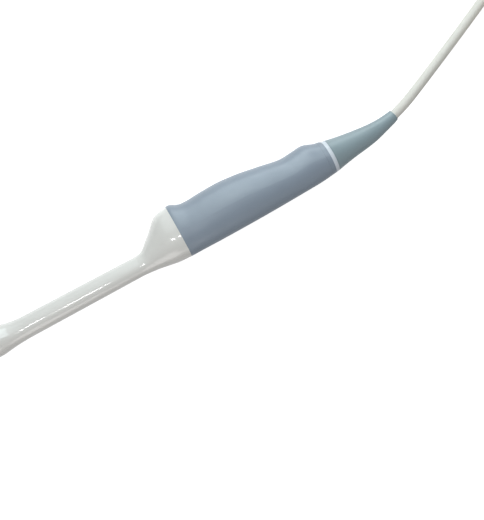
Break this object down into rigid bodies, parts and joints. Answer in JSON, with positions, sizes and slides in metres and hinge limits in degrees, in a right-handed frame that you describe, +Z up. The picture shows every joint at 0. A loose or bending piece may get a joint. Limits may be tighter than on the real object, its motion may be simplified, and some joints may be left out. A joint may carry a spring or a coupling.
{
  "type": "endocavity ultrasound transducer probe",
  "caption": "Handheld endocavity ultrasound probe: slender shaft with curved array head, contoured handle, strain relief, coiled cable and rotary-lock system connector.",
  "frame": {"origin": "on the table, under the middle of the box of the probe without its free cable and connector", "axes": "+X along the probe from the tip towards the cable, +Y towards the thumb side of the handle, +Z up from the table that the probe lies on"},
  "size_m": [0.7001, 0.0864, 0.04],
  "materials": {
    "ivory_plastic": "smooth glossy ivory moulding",
    "handle_plastic": "fine matte blue-grey moulding",
    "ring_plastic": "smooth near-white moulding",
    "relief_rubber": "smooth matte blue-grey elastomer",
    "lens_rubber": "smooth grey silicone",
    "cable_jacket": "smooth ivory jacket",
    "matching_resin": "resin",
    "piezo_ceramic": "plated ceramic",
    "backing_rubber": "loaded rubber",
    "inner_plastic": "plain moulding",
    "flex_film": "polyimide film",
    "shield_metal": "plated foil",
    "seal_rubber": "soft seal",
    "chassis_metal": "pressed sheet",
    "board_laminate": "solder-masked laminate",
    "socket_plastic": "moulded insulator",
    "screw_steel": "plain steel",
    "wire_jacket": "bundled fine wires",
    "connector_plastic": "fine textured light grey moulding",
    "shroud_metal": "plated die casting",
    "contact_gold": "plated contacts",
    "knob_plastic": "dark grey moulding"
  },
  "bodies": {
    "probe": {"shaft_housing": "ivory_plastic", "shoulder_seal": "seal_rubber", "acoustic_lens": "lens_rubber", "matching_layer": "matching_resin", "piezo_array": "piezo_ceramic", "backing_block": "backing_rubber", "array_carrier": "inner_plastic", "flex_circuit": "flex_film", "shield_tube": "shield_metal", "handle_shell_upper": "handle_plastic", "handle_shell_lower": "handle_plastic", "handle_chassis": "chassis_metal", "interposer_board": "board_laminate", "board_sockets": "socket_plastic", "chassis_screws": "screw_steel", "board_screws": "screw_steel", "coax_bundle": "wire_jacket", "cable_clamp": "inner_plastic", "clamp_screws": "screw_steel", "end_ring": "ring_plastic", "strain_relief": "relief_rubber", "cable_lead_in": "cable_jacket", "cable_run": "cable_jacket", "cable_coil": "cable_jacket", "cable_tail": "cable_jacket", "connector_boot": "relief_rubber", "cable_lead_out": "cable_jacket", "cable_ferrule": "shield_metal", "connector_loom": "wire_jacket", "connector_cover_upper": "connector_plastic", "connector_cover_lower": "connector_plastic", "cover_screws": "screw_steel", "contact_shroud": "shroud_metal", "contact_block": "socket_plastic", "contact_pins": "contact_gold", "connector_board": "board_laminate", "shaft_bush": "contact_gold"},
    "lock": {"lock_shaft": "screw_steel", "lock_knob": "knob_plastic", "knob_screw": "screw_steel"}
  },
  "joints": [
    {"name": "lock_turn", "type": "hinge", "parent": "probe", "child": "lock", "pos_m": [0.47685, 0.0188, 0.02], "axis": [0, 1, 0], "range_deg": [0, 90]}
  ]
}
